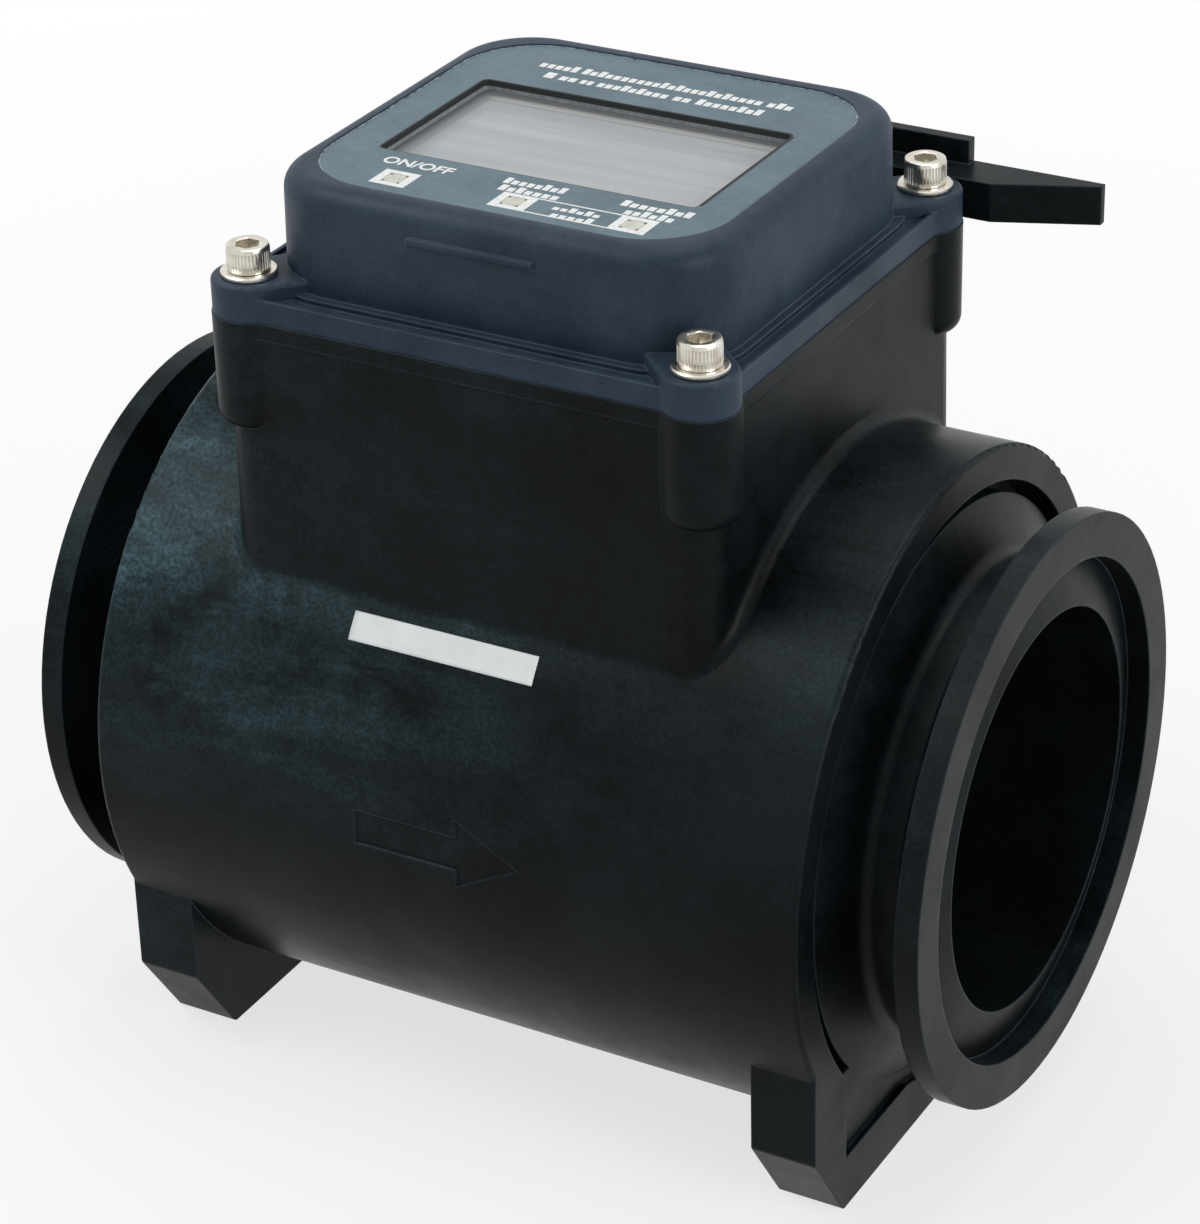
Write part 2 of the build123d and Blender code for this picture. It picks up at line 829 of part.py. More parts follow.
def support(side):
    """A flow straightener that carries one end of the shaft: ring, vanes and streamlined hub."""
    hub_start = rotor_hub_length / 2 + support_gap
    hub_end = hub_start + support_hub_length
    nose_end = hub_end + support_nose_length
    nose = Polyline((hub_start, 0, 0), (hub_start, 0, rotor_hub_radius), (hub_end, 0, rotor_hub_radius))
    shoulder_x = hub_end + support_nose_length * nose_shoulder_reach
    curve = Spline(
        (hub_end, 0, rotor_hub_radius), (shoulder_x, 0, rotor_hub_radius * nose_shoulder_radius),
        (nose_end, 0, 0), tangents=[(1, 0, 0), (0, 0, -1)],
    )
    axis = Line((nose_end, 0, 0), (hub_start, 0, 0))
    hub = revolve(make_face([nose, curve, axis]), Axis.X, 360)
    ring_start = rotor_bay / 2
    ring_radius = bore_radius - support_clearance
    ring = along_pipe(ring_radius, ring_start, ring_start + support_ring_length)
    ring_end = ring_start + support_ring_length
    ring -= along_pipe(ring_radius - support_ring_wall, ring_start - cut_over, ring_end + cut_over)
    vanes = Part()
    for index in range(vane_count):
        root = rotor_hub_radius - cut_over
        vane = Pos(ring_start + vane_length / 2, 0, root) * Box(
            vane_length, vane_thickness, ring_radius - root,
            align=(Align.CENTER, Align.CENTER, Align.MIN),
        )
        vanes += Rot(vane_turn + index * 360 / vane_count, 0, 0) * vane
    inside = along_pipe(ring_radius - support_ring_wall / 2, ring_start, ring_end)
    inside += along_pipe(bore_radius + retainer_seat - retainer_width - retainer_play, ring_end, hub_end)
    shape = hub + ring + (vanes & inside)
    depth = shaft_length / 2 + shaft_end_gap
    shape -= along_pipe(bearing_radius + fit_clearance, hub_start - cut_over, hub_start + bearing_length)
    shape -= along_pipe(shaft_radius + shaft_end_clearance, hub_start, depth)
    return placed(side, shape)


def bearing(side):
    """The plain bearing of one shaft end."""
    start = rotor_hub_length / 2 + support_gap
    sleeve = along_pipe(bearing_radius, start, start + bearing_length)
    end = start + bearing_length
    sleeve -= along_pipe(shaft_radius + bearing_clearance, start - cut_over, end + cut_over)
    return placed(side, sleeve)


def retainer(side):
    """The open ring that snaps into its groove and holds a support."""
    start = rotor_bay / 2 + support_ring_length + retainer_play
    outer = bore_radius + retainer_seat
    ring = along_pipe(outer, start, start + retainer_thickness)
    end = start + retainer_thickness
    ring -= along_pipe(outer - retainer_width, start - cut_over, end + cut_over)
    mouth = Box(
        retainer_thickness + 2 * cut_over, 2 * outer * math.sin(math.radians(retainer_mouth / 2)), outer,
        align=(Align.CENTER, Align.CENTER, Align.MAX),
    )
    ring -= Pos(start + retainer_thickness / 2, 0, 0) * mouth
    return placed(side, ring)


nodes = {
    "meter_body": meter_body(),
    "cover_gasket": cover_gasket(),
    "display_cover": display_cover(),
    "cover_screws": cover_screws(),
    "cover_washers": cover_washers(),
    "thread_inserts": thread_inserts(),
    "face_panel": face_panel(),
    "display_window": display_window(),
    "lcd_module": lcd_module(),
    "lcd_frame": lcd_frame(),
    "circuit_board": circuit_board(),
    "board_screws": board_screws(),
    "pickup_sensor": pickup_sensor(),
    "battery_holder": battery_holder(),
    "battery_cell_1": battery_cell(0),
    "battery_cell_2": battery_cell(1),
    "contact_bridge": battery_contact(-1, 0, 1),
    "contact_positive": battery_contact(1, 0, 0),
    "contact_negative": battery_contact(1, 1, 1),
    "rotor": rotor(),
    "rotor_shaft": rotor_shaft(),
    "rotor_magnet_1": rotor_magnet(1),
    "rotor_magnet_2": rotor_magnet(-1),
    "inlet_support": support(-1),
    "outlet_support": support(1),
    "inlet_bearing": bearing(-1),
    "outlet_bearing": bearing(1),
    "inlet_retainer": retainer(-1),
    "outlet_retainer": retainer(1),
}
for index, place in enumerate(touch_places, start=1):
    nodes[f"touch_window_{index}"] = touch_window(place)

os.makedirs("parts", exist_ok=True)
for name, shape in nodes.items():
    export_step(shape, f"parts/{name}.step")
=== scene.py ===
import math

import bmesh
import bpy
from mathutils import Matrix, Vector


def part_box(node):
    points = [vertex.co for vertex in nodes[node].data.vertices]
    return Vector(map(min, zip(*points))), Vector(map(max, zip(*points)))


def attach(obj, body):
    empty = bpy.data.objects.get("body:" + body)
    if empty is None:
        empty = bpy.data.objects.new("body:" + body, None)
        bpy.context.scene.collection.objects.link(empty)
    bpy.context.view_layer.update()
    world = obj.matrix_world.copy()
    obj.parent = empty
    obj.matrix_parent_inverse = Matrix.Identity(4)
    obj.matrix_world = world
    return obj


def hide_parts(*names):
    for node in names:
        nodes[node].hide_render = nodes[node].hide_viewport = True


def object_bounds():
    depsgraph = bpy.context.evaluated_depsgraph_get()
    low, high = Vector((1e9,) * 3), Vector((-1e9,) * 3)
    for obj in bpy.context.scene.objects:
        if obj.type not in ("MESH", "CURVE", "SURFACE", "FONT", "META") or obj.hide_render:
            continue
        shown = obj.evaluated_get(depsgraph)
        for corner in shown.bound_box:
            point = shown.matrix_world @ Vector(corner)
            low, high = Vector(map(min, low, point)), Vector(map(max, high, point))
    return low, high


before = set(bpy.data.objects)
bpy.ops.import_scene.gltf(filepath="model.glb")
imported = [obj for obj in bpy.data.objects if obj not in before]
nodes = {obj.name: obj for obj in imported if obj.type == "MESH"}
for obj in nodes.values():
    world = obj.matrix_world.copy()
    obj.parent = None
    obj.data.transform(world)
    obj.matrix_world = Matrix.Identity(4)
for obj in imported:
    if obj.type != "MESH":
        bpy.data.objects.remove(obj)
cad_low, cad_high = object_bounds()

MM = 0.001


def middle(name, axis, start=0.0):
    """Middle of a node along one axis, counted from start, in millimetres."""
    low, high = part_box(name)
    return round((low[axis] + high[axis]) / 2 / MM - start, 3)


# Places read from the frame, in millimetres
MIDDLE_X = middle("meter_body", 0)
WASHER_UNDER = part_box("cover_washers")[0][2] / MM
HEAD_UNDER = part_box("cover_washers")[1][2] / MM
SCREW_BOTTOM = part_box("cover_screws")[0][2] / MM
PANEL_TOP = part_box("face_panel")[1][2] / MM
PANE_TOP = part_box("display_window")[1][2] / MM
WINDOW_Y = middle("display_window", 1)
PANEL_Y = middle("face_panel", 1)
TOUCH_PLACES = [middle(f"touch_window_{number}", 0, MIDDLE_X) for number in (1, 2, 3)]
TOUCH_ROW = middle("touch_window_1", 1)

# Sizes that the solids have too, in millimetres
SHELL_RADIUS = 64.8
SCREW_X = 45.3
SCREW_Y = 44.2
WINDOW_LENGTH = 64.6
WINDOW_WIDTH = 38.0
PANEL_LENGTH = 80.8
PANEL_WIDTH = 76.2
PANEL_CORNER = 15.5


def linear(code):
    """An sRGB hex colour as the linear colour that the shader takes."""
    channels = [int(code[i:i + 2], 16) / 255 for i in (1, 3, 5)]
    return tuple(c / 12.92 if c <= 0.04045 else ((c + 0.055) / 1.055) ** 2.4 for c in channels) + (1.0,)


def add(tree, kind, settings=None, links=None):
    """Adds a node. A setting is a property of the node or the value of one of its sockets."""
    node = tree.nodes.new(kind)
    for name, value in (settings or {}).items():
        if isinstance(name, str) and hasattr(node, name):
            setattr(node, name, value)
        else:
            node.inputs[name].default_value = value
    for name, source in (links or {}).items():
        tree.links.new(source, node.inputs[name])
    return node


def new_material(name):
    """An empty material with its output and the surface's place in millimetres."""
    material = bpy.data.materials.new(name)
    material.use_nodes = True
    tree = material.node_tree
    tree.nodes.clear()
    output = add(tree, "ShaderNodeOutputMaterial")
    place = add(tree, "ShaderNodeTexCoord").outputs["Object"]
    scaled = add(tree, "ShaderNodeVectorMath", {"operation": "SCALE", "Scale": 1 / MM}, {0: place})
    return material, tree, output, scaled.outputs[0]


def edge_wear(tree, rounded, flat, cloud):
    """How far each place is rubbed. Edges are where the rounded normal leaves the flat one, and some
    stretches of them are rubbed more than others."""
    turn = add(tree, "ShaderNodeVectorMath", {"operation": "DOT_PRODUCT"}, {0: rounded, 1: flat})
    edge = add(
        tree, "ShaderNodeMapRange", {"From Min": 0.985, "From Max": 0.86, "To Min": 0.0, "To Max": 1.0},
        {"Value": turn.outputs["Value"]},
    )
    rubbed = add(
        tree, "ShaderNodeMapRange", {"From Min": 0.3, "From Max": 0.7, "To Min": 0.25, "To Max": 0.75},
        {"Value": cloud},
    )
    wear = add(tree, "ShaderNodeMath", {"operation": "MULTIPLY"}, {0: edge.outputs[0], 1: rubbed.outputs[0]})
    return wear.outputs[0]


# Where dust and painted sheen lie, in millimetres from the inlet face and from the pipe's axis
DUST_AND_SHEEN_THINS_FROM = 30.0
DUST_AND_SHEEN_THINS_TO = 125.0
FLANGE_BARE_TO = 6.0
DUST_AND_SHEEN_FULL_FROM = 20.0
BARE_BORE_RADIUS = 38.4
BORE_EDGE_FADE = 2.0


def dust_and_sheen_place(tree, place, flat):
    """How much dust and painted sheen can lie at each place: on what faces up outside the bore, most of it
    near the inlet.
    """
    facing = add(tree, "ShaderNodeSeparateXYZ", None, {0: flat})
    upward = add(
        tree, "ShaderNodeMapRange", {"From Min": -0.1, "From Max": 0.9}, {"Value": facing.outputs["Z"]}
    )
    across = add(tree, "ShaderNodeVectorMath", {"operation": "MULTIPLY", 1: (0.0, 1.0, 1.0)}, {0: place})
    reach = add(tree, "ShaderNodeVectorMath", {"operation": "LENGTH"}, {0: across.outputs[0]})
    outside = add(
        tree, "ShaderNodeMapRange",
        {"From Min": BARE_BORE_RADIUS, "From Max": BARE_BORE_RADIUS + BORE_EDGE_FADE},
        {"Value": reach.outputs["Value"]},
    )
    shown = add(
        tree, "ShaderNodeMath", {"operation": "MULTIPLY"}, {0: upward.outputs[0], 1: outside.outputs[0]}
    )
    along = add(tree, "ShaderNodeSeparateXYZ", None, {0: place})
    # Fading away from the inlet paints the sheen of the upper left light, along with dust
    inlet_side = add(
        tree, "ShaderNodeMapRange",
        {"From Min": DUST_AND_SHEEN_THINS_FROM, "From Max": DUST_AND_SHEEN_THINS_TO, "To Min": 1.0, "To Max": 0.12},
        {"Value": along.outputs["X"]},
    )
    past_flange = add(
        tree, "ShaderNodeMapRange",
        {"From Min": FLANGE_BARE_TO, "From Max": DUST_AND_SHEEN_FULL_FROM, "To Min": 0.25, "To Max": 1.0},
        {"Value": along.outputs["X"]},
    )
    strength = add(
        tree, "ShaderNodeMath", {"operation": "MULTIPLY"},
        {0: inlet_side.outputs[0], 1: past_flange.outputs[0]},
    )
    return shown.outputs[0], strength.outputs[0]


def dust_and_sheen_film(tree, place, flat, swirl, fleck, smear_mm, dust_and_sheen_share, smear_share):
    """The share of dust and painted sheen at each place: swirling patches, the slanting smears where it was
    wiped, and its specks."""
    shown, strength = dust_and_sheen_place(tree, place, flat)
    swirl_patches = add(
        tree, "ShaderNodeMapRange", {"From Min": 0.36, "From Max": 0.72, "To Max": dust_and_sheen_share},
        {"Value": swirl},
    )
    wiped = add(
        tree, "ShaderNodeMapping",
        {"Rotation": (math.radians(35), math.radians(25), 0.0), "Scale": (0.45, 1.0, 1.6)}, {"Vector": place},
    )
    smear = add(
        tree, "ShaderNodeTexNoise",
        {"Scale": 1 / smear_mm, "Detail": 8.0, "Roughness": 0.7, "Distortion": 0.6},
        {"Vector": wiped.outputs[0]},
    )
    smudge = add(
        tree, "ShaderNodeMapRange", {"From Min": 0.5, "From Max": 0.68, "To Max": smear_share},
        {"Value": smear.outputs["Fac"]},
    )
    laid = add(tree, "ShaderNodeMath", {"operation": "ADD"}, {0: swirl_patches.outputs[0], 1: smudge.outputs[0]})
    speck = add(
        tree, "ShaderNodeMapRange", {"From Min": 0.35, "From Max": 0.65, "To Min": 0.55, "To Max": 1.45},
        {"Value": fleck},
    )
    specked = add(tree, "ShaderNodeMath", {"operation": "MULTIPLY"}, {0: strength, 1: speck.outputs[0]})
    lying = add(
        tree, "ShaderNodeMath", {"operation": "MULTIPLY"}, {0: laid.outputs[0], 1: specked.outputs[0]}
    )
    film = add(tree, "ShaderNodeMath", {"operation": "MULTIPLY"}, {0: shown, 1: lying.outputs[0]})
    return film.outputs[0]


# Sizes of the looser and finer patterns of moulded plastic, as shares of its mottle and of its grain
SWIRL_SHARE = 0.8
SCUFF_SHARE = 0.16
FLECK_SHARE = 2.2


def moulded_plastic(
    name, dark, mid, worn, dust_and_sheen, roughness, shine,
    grain_mm=0.35, grain_height_mm=0.05, mottle_mm=20.0, edge_mm=0.45, dust_and_sheen_share=0.2, smear_share=0.0,
):
    """Injection moulded plastic. The tool leaves a fine grain, deep where it was spark eroded and shallow
    where it was polished, and the melt clouded as it flowed. Dust and a painted sheen lie on what faces up,
    most of them near the inlet, and the edges are rubbed paler. The real grain is finer than the picture can
    show, so it is drawn coarser, at grain_mm."""
    material, tree, output, place = new_material(name)
    swirl_mm = mottle_mm * SWIRL_SHARE
    scuff_mm = mottle_mm * SCUFF_SHARE
    fleck_mm = grain_mm * FLECK_SHARE
    cloud = add(
        tree, "ShaderNodeTexNoise", {"Scale": 1 / mottle_mm, "Detail": 5.0, "Roughness": 0.62},
        {"Vector": place},
    )
    scuff = add(tree, "ShaderNodeTexNoise", {"Scale": 1 / scuff_mm, "Detail": 3.0}, {"Vector": place})
    grain = add(tree, "ShaderNodeTexNoise", {"Scale": 1 / grain_mm, "Detail": 2.0}, {"Vector": place})
    fleck = add(tree, "ShaderNodeTexNoise", {"Scale": 1 / fleck_mm, "Detail": 2.0}, {"Vector": place})
    swirl = add(
        tree, "ShaderNodeTexNoise",
        {"Scale": 1 / swirl_mm, "Detail": 9.0, "Roughness": 0.66, "Distortion": 0.35}, {"Vector": place},
    )
    cloud_mix = add(
        tree, "ShaderNodeMath", {"operation": "MULTIPLY_ADD", 1: 0.3},
        {0: scuff.outputs["Fac"], 2: cloud.outputs["Fac"]},
    )
    fleck_mix = add(
        tree, "ShaderNodeMath", {"operation": "MULTIPLY_ADD", 1: 0.25},
        {0: fleck.outputs["Fac"], 2: cloud_mix.outputs[0]},
    )
    tone = add(
        tree, "ShaderNodeMapRange", {"From Min": 0.6, "From Max": 0.92}, {"Value": fleck_mix.outputs[0]}
    )
    base = add(
        tree, "ShaderNodeMix", {"data_type": "RGBA", 6: linear(dark), 7: linear(mid)}, {0: tone.outputs[0]}
    )
    rounded = add(tree, "ShaderNodeBevel", {"samples": 6, "Radius": edge_mm * MM}).outputs[0]
    flat = add(tree, "ShaderNodeNewGeometry").outputs["Normal"]
    wear = edge_wear(tree, rounded, flat, cloud.outputs["Fac"])
    film = dust_and_sheen_film(
        tree, place, flat, swirl.outputs["Fac"], fleck.outputs["Fac"], swirl_mm, dust_and_sheen_share, smear_share
    )
    # The dust colour stands for dust and also for painted sheen where the light falls from the upper left
    with_dust_and_sheen = add(tree, "ShaderNodeMix", {"data_type": "RGBA", 7: linear(dust_and_sheen)}, {0: film, 6: base.outputs[2]})
    colour = add(
        tree, "ShaderNodeMix", {"data_type": "RGBA", 7: linear(worn)}, {0: wear, 6: with_dust_and_sheen.outputs[2]}
    )
    gloss = add(
        tree, "ShaderNodeMapRange",
        {"From Min": 0.3, "From Max": 0.7, "To Min": roughness - 0.07, "To Max": roughness + 0.09},
        {"Value": swirl.outputs["Fac"]},
    )
    bump = add(
        tree, "ShaderNodeBump", {"Strength": 0.7, "Distance": grain_height_mm * MM},
        {"Height": grain.outputs["Fac"], "Normal": rounded},
    )
    shader = add(
        tree, "ShaderNodeBsdfPrincipled", {"IOR": 1.49, "Specular IOR Level": shine},
        {"Base Color": colour.outputs[2], "Roughness": gloss.outputs[0], "Normal": bump.outputs[0]},
    )
    tree.links.new(shader.outputs[0], output.inputs["Surface"])
    return material


def plain_finish(name, first, second, roughness, pattern_mm, metallic=0.0, coat=0.0):
    """A surface with a slight change of tone and gloss, for print and for pieces inside."""
    material, tree, output, place = new_material(name)
    tone = add(tree, "ShaderNodeTexNoise", {"Scale": 1 / pattern_mm, "Detail": 4.0}, {"Vector": place})
    spread = add(
        tree, "ShaderNodeMapRange", {"From Min": 0.35, "From Max": 0.65}, {"Value": tone.outputs["Fac"]}
    )
    colour = add(
        tree, "ShaderNodeMix", {"data_type": "RGBA", 6: linear(first), 7: linear(second)},
        {0: spread.outputs[0]},
    )
    gloss = add(
        tree, "ShaderNodeMapRange",
        {"From Min": 0.3, "From Max": 0.7, "To Min": roughness - 0.05, "To Max": roughness + 0.06},
        {"Value": tone.outputs["Fac"]},
    )
    bump = add(
        tree, "ShaderNodeBump", {"Strength": 0.25, "Distance": 0.02 * MM}, {"Height": tone.outputs["Fac"]}
    )
    shader = add(
        tree, "ShaderNodeBsdfPrincipled", {"Metallic": metallic, "Coat Weight": coat},
        {"Base Color": colour.outputs[2], "Roughness": gloss.outputs[0], "Normal": bump.outputs[0]},
    )
    tree.links.new(shader.outputs[0], output.inputs["Surface"])
    return material


# Patterns of the turned steel: its stains' width in millimetres, and its lines per millimetre on each axis
STAIN_MM = 2.5
LINES_PER_MM = (0.4, 0.4, 9.0)


def turned_stainless(name):
    """Stainless steel, turned and then handled: warm grey, with dull stains and with turning lines about
    0.1 mm apart. The lines of the real one are closer together and wouldn't show."""
    material, tree, output, place = new_material(name)
    stain = add(tree, "ShaderNodeTexNoise", {"Scale": 1 / STAIN_MM, "Detail": 4.0}, {"Vector": place})
    stretched = add(tree, "ShaderNodeVectorMath", {"operation": "MULTIPLY", 1: LINES_PER_MM}, {0: place})
    lines = add(tree, "ShaderNodeTexNoise", {"Scale": 1.0, "Detail": 3.0}, {"Vector": stretched.outputs[0]})
    dull = add(
        tree, "ShaderNodeMapRange", {"From Min": 0.3, "From Max": 0.62}, {"Value": stain.outputs["Fac"]}
    )
    colour = add(
        tree, "ShaderNodeMix", {"data_type": "RGBA", 6: linear("#c6c0b2"), 7: linear("#dfdbd2")},
        {0: dull.outputs[0]},
    )
    gloss = add(
        tree, "ShaderNodeMapRange", {"From Min": 0.3, "From Max": 0.7, "To Min": 0.2, "To Max": 0.32},
        {"Value": stain.outputs["Fac"]},
    )
    bump = add(
        tree, "ShaderNodeBump", {"Strength": 0.25, "Distance": 0.03 * MM}, {"Height": lines.outputs["Fac"]}
    )
    shader = add(
        tree, "ShaderNodeBsdfPrincipled", {"Metallic": 1.0},
        {"Base Color": colour.outputs[2], "Roughness": gloss.outputs[0], "Normal": bump.outputs[0]},
    )
    tree.links.new(shader.outputs[0], output.inputs["Surface"])
    return material


# The display's sealed rim, in millimetres
RIM_INSET = 2.0
RIM_SOFTNESS = 0.1
RIM_LINE_FROM = 0.35
RIM_LINE_TO = 0.55
RIM_CORNER_BLEND = 0.3


def display_rim(tree, place):
    """Where the display's rim begins, and its colours: a thin dark line, and outside it a strip that is cream
    along the length and grey at the ends."""
    parts = add(tree, "ShaderNodeSeparateXYZ", None, {0: place})
    reach = []
    half_length = WINDOW_LENGTH / 2 - RIM_INSET
    half_width = WINDOW_WIDTH / 2 - RIM_INSET
    for axis, centre, half in (("X", MIDDLE_X, half_length), ("Y", WINDOW_Y, half_width)):
        moved = add(tree, "ShaderNodeMath", {"operation": "SUBTRACT", 1: centre}, {0: parts.outputs[axis]})
        size = add(tree, "ShaderNodeMath", {"operation": "ABSOLUTE"}, {0: moved.outputs[0]})
        reach.append(add(tree, "ShaderNodeMath", {"operation": "SUBTRACT", 1: half}, {0: size.outputs[0]}))
    past_length, past_width = reach[0].outputs[0], reach[1].outputs[0]
    outside = add(tree, "ShaderNodeMath", {"operation": "MAXIMUM"}, {0: past_length, 1: past_width})
    band = add(
        tree, "ShaderNodeMapRange", {"From Min": -RIM_SOFTNESS, "From Max": RIM_SOFTNESS},
        {"Value": outside.outputs[0]},
    )
    lean = add(tree, "ShaderNodeMath", {"operation": "SUBTRACT"}, {0: past_width, 1: past_length})
    side = add(
        tree, "ShaderNodeMapRange", {"From Min": -RIM_CORNER_BLEND, "From Max": RIM_CORNER_BLEND},
        {"Value": lean.outputs[0]},
    )
    strip = add(
        tree, "ShaderNodeMix", {"data_type": "RGBA", 6: linear("#7f868b"), 7: linear("#c3c2bb")},
        {0: side.outputs[0]},
    )
    past_line = add(
        tree, "ShaderNodeMapRange", {"From Min": RIM_LINE_FROM, "From Max": RIM_LINE_TO},
        {"Value": outside.outputs[0]},
    )
    rim = add(
        tree, "ShaderNodeMix", {"data_type": "RGBA", 6: linear("#6a7074")},
        {0: past_line.outputs[0], 7: strip.outputs[2]},
    )
    return band.outputs[0], rim.outputs[2]


# The display's painted reflection streaks: the pattern's size in millimetres, and the factors that draw
# it out 20 times along
REFLECTION_STREAK_MM = 2.857143
REFLECTION_STREAK_STRETCH = (0.05, 0.9, 1.0)
REFLECTION_STREAK_LEAN = 24


def display_glass(name):
    """Blank liquid crystal glass, two polished sheets: pale grey with faint slanting streaks of painted
    reflection, and its rim.
    """
    material, tree, output, place = new_material(name)
    band, rim = display_rim(tree, place)
    slanted = add(
        tree, "ShaderNodeMapping",
        {"Rotation": (0.0, 0.0, math.radians(REFLECTION_STREAK_LEAN)), "Scale": REFLECTION_STREAK_STRETCH}, {"Vector": place},
    )
    # Painted reflection: slanting pale streaks mixed into the glass's own grey
    reflection_streak = add(
        tree, "ShaderNodeTexNoise", {"Scale": 1 / REFLECTION_STREAK_MM, "Detail": 4.0}, {"Vector": slanted.outputs[0]}
    )
    drift = add(
        tree, "ShaderNodeMapRange", {"From Min": 0.32, "From Max": 0.68}, {"Value": reflection_streak.outputs["Fac"]}
    )
    pale = add(
        tree, "ShaderNodeMix", {"data_type": "RGBA", 6: linear("#838b94"), 7: linear("#a3a3a3")},
        {0: drift.outputs[0]},
    )
    colour = add(tree, "ShaderNodeMix", {"data_type": "RGBA"}, {0: band, 6: pale.outputs[2], 7: rim})
    shader = add(
        tree, "ShaderNodeBsdfPrincipled", {"Roughness": 0.28, "IOR": 1.52}, {"Base Color": colour.outputs[2]}
    )
    tree.links.new(shader.outputs[0], output.inputs["Surface"])
    return material


# Width of the pane's patches of faint haze, in millimetres
HAZE_MM = 14.0


def clear_acrylic(name):
    """Cast acrylic, polished: lets light through to the display and keeps a sharp reflection."""
    material, tree, output, place = new_material(name)
    haze = add(tree, "ShaderNodeTexNoise", {"Scale": 1 / HAZE_MM, "Detail": 3.0}, {"Vector": place})
    gloss = add(
        tree, "ShaderNodeMapRange", {"From Min": 0.3, "From Max": 0.7, "To Min": 0.03, "To Max": 0.09},
        {"Value": haze.outputs["Fac"]},
    )
    shader = add(
        tree, "ShaderNodeBsdfPrincipled", {"Base Color": linear("#eef2f4"), "IOR": 1.49, "Alpha": 0.16},
        {"Roughness": gloss.outputs[0]},
    )
    tree.links.new(shader.outputs[0], output.inputs["Surface"])
    return material


# Moulded with glass fibre: near black in cloudy patches, blue grey dust and painted sheen, rubbed edges
body_plastic = moulded_plastic(
    "glass_filled_polypropylene", dark="#060809", mid="#12181a", worn="#434f57", dust_and_sheen="#5d7f89",
    roughness=0.34, shine=0.08, mottle_mm=26.0, edge_mm=0.5, dust_and_sheen_share=0.46, smear_share=0.4,
)
# Moulded and coloured through: slate blue, and more matt than the body
cover_plastic = moulded_plastic(
    "slate_moulded_nylon", dark="#222e3c", mid="#303d4c", worn="#5f6f7e", dust_and_sheen="#64757f",
    roughness=0.46, shine=0.16, grain_mm=0.4,
)
# Rolled film with a printed face: grey blue and nearly flat, so it takes the moulded pattern with a low grain
panel_film = moulded_plastic(
    "printed_polyester_film", dark="#51646d", mid="#61757f", worn="#b3c0c6", dust_and_sheen="#8fa2ab",
    roughness=0.46, shine=0.25, grain_mm=0.3, grain_height_mm=0.02, mottle_mm=15.0, edge_mm=0.2,
)
# Moulded in a polished tool: near black and slippery, with brighter highlights than the body's
turbine_plastic = moulded_plastic(
    "moulded_acetal_dark", dark="#0f1011", mid="#191b1c", worn="#3c3e41", dust_and_sheen="#3c4244",
    roughness=0.36, shine=0.25, grain_mm=0.4, grain_height_mm=0.02, mottle_mm=10.0, edge_mm=0.3,
    dust_and_sheen_share=0.1,
)
stainless = turned_stainless("turned_stainless_steel")
display = display_glass("liquid_crystal_glass")
pane = clear_acrylic("clear_acrylic")
# Pressed through a screen: opaque, matt and a little uneven
white_ink = plain_finish(
    "white_screen_ink", first="#dcdedd", second="#eceeed", roughness=0.5, pattern_mm=0.8
)
# Moulded in a polished tool: milky cream, and glossier than the ink round it
light_pipe = plain_finish(
    "translucent_acrylic_light_pipe", first="#b3b2a6", second="#cac8bb", roughness=0.2, pattern_mm=1.2,
    coat=0.4,
)
# Coated and cut from a roll: even white with a faint sheen
label_vinyl = plain_finish(
    "white_label_vinyl", first="#e6ebeb", second="#eff3f3", roughness=0.42, pattern_mm=6.0
)
# Cut from foam: black and dull. Its cells are drawn coarser than they are, so that they show
black_seal = plain_finish(
    "black_seal_foam", first="#08090a", second="#121314", roughness=0.7, pattern_mm=0.6
)
# Moulded in rubber: plain mid grey and dull
grey_seal = plain_finish(
    "grey_sealing_lip", first="#6d7478", second="#8b9093", roughness=0.5, pattern_mm=0.8
)
# Squeezed out and dried clear: pale bits, broken by the colour underneath
dried_adhesive = plain_finish(
    "dried_clear_adhesive", first="#566975", second="#c3cbcd", roughness=0.4, pattern_mm=1.1
)
# Plated over rolled strip: a bright, slightly warm grey
nickel = plain_finish(
    "nickel_plated_steel", first="#a9a8a2", second="#c4c2bb", roughness=0.28, pattern_mm=3.0, metallic=1.0
)
# Turned from bar: yellow, with a satin gloss
brass = plain_finish(
    "turned_brass", first="#a9813f", second="#c9a15a", roughness=0.3, pattern_mm=2.0, metallic=1.0
)
# Coated over copper and fibre board: dark green under a clear gloss
solder_mask = plain_finish(
    "green_solder_mask", first="#0f4a25", second="#186034", roughness=0.35, pattern_mm=4.0, coat=0.3
)
# Shrunk over each cell: plain grey and glossy
cell_jacket = plain_finish(
    "printed_cell_jacket", first="#6e7276", second="#868a8e", roughness=0.3, pattern_mm=8.0, coat=0.3
)
# Machined from rod: off white and waxy
bearing_plastic = plain_finish(
    "white_bearing_polymer", first="#d9d8d2", second="#e8e7e1", roughness=0.45, pattern_mm=1.5
)

